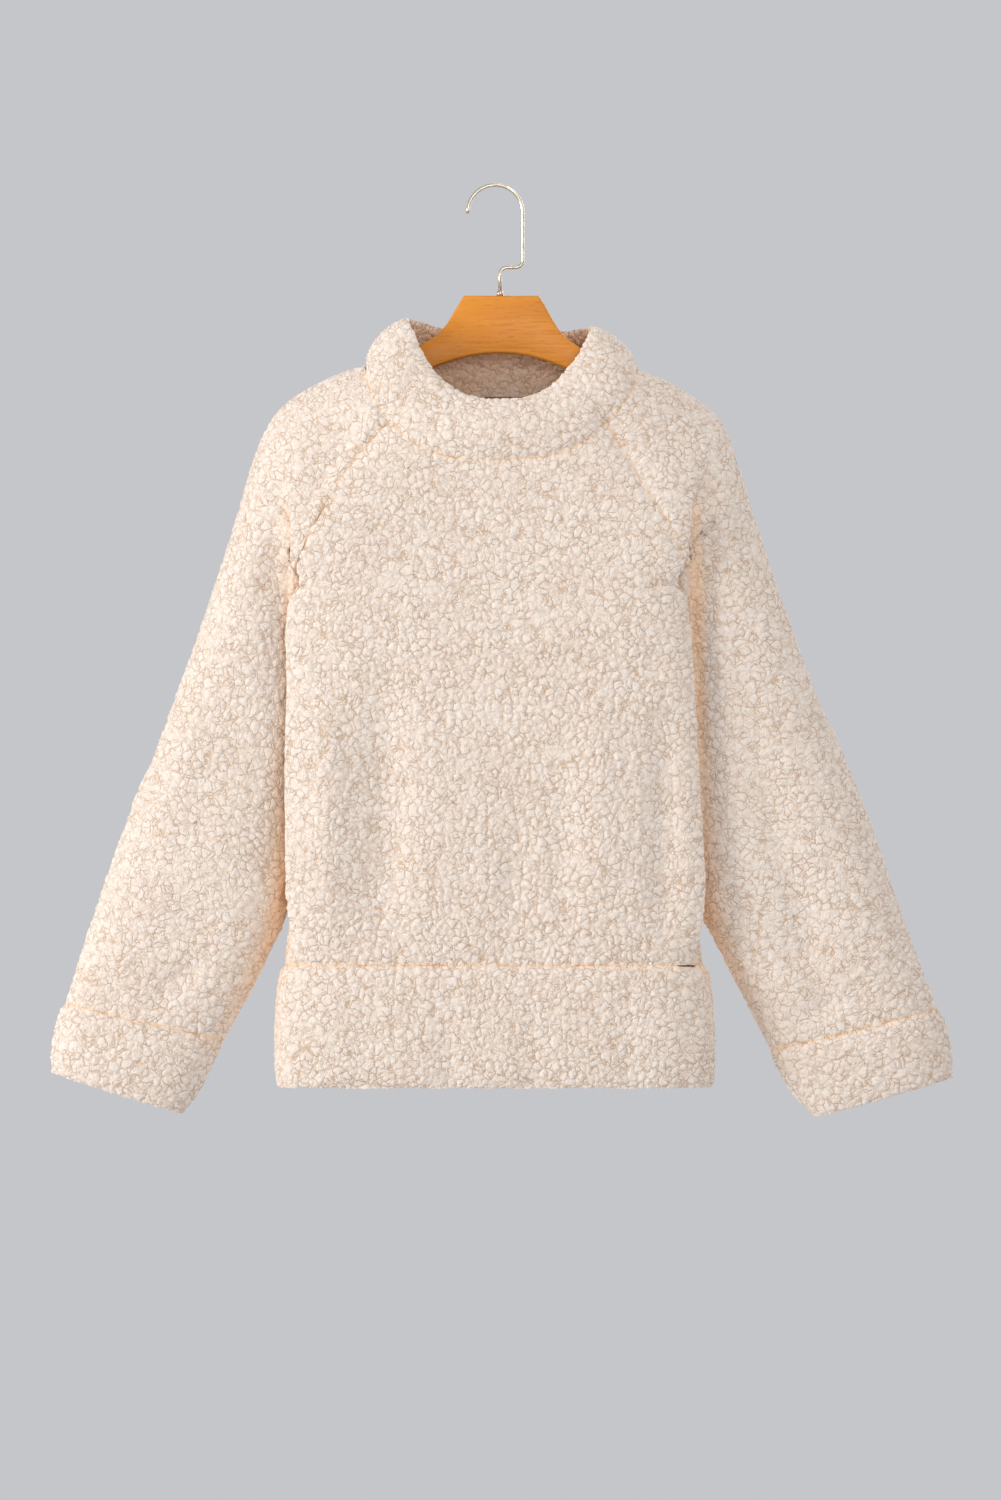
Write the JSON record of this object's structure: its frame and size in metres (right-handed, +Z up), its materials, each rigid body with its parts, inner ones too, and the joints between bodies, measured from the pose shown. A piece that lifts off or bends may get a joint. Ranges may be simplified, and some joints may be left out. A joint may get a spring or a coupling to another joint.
{
  "type": "sherpa fleece sweatshirt on a wooden hanger",
  "caption": "Cream sherpa fleece raglan sweatshirt with a funnel collar, deep hem band and cuffs, hanging on a flat wooden hanger with a wire hook.",
  "frame": {"origin": "top of the hook's inner arc, where a rail carries the hanger", "axes": "+X to the right as one faces the garment's front, +Y from the front to the back, +Z up"},
  "size_m": [0.8168, 0.116, 0.8401],
  "materials": {
    "fleece": "curly sherpa pile, matt",
    "hanger_wood": "honey stain under satin lacquer",
    "hook_wire": "pale brass plating, satin"
  },
  "bodies": {
    "root": {"front": "fleece", "back": "fleece", "sleeve_left": "fleece", "sleeve_right": "fleece", "collar": "fleece", "hem_band": "fleece", "cuff_left": "fleece", "cuff_right": "fleece", "hanger": "hanger_wood", "hook": "hook_wire", "hook_ferrule": "hook_wire"}
  },
  "joints": []
}
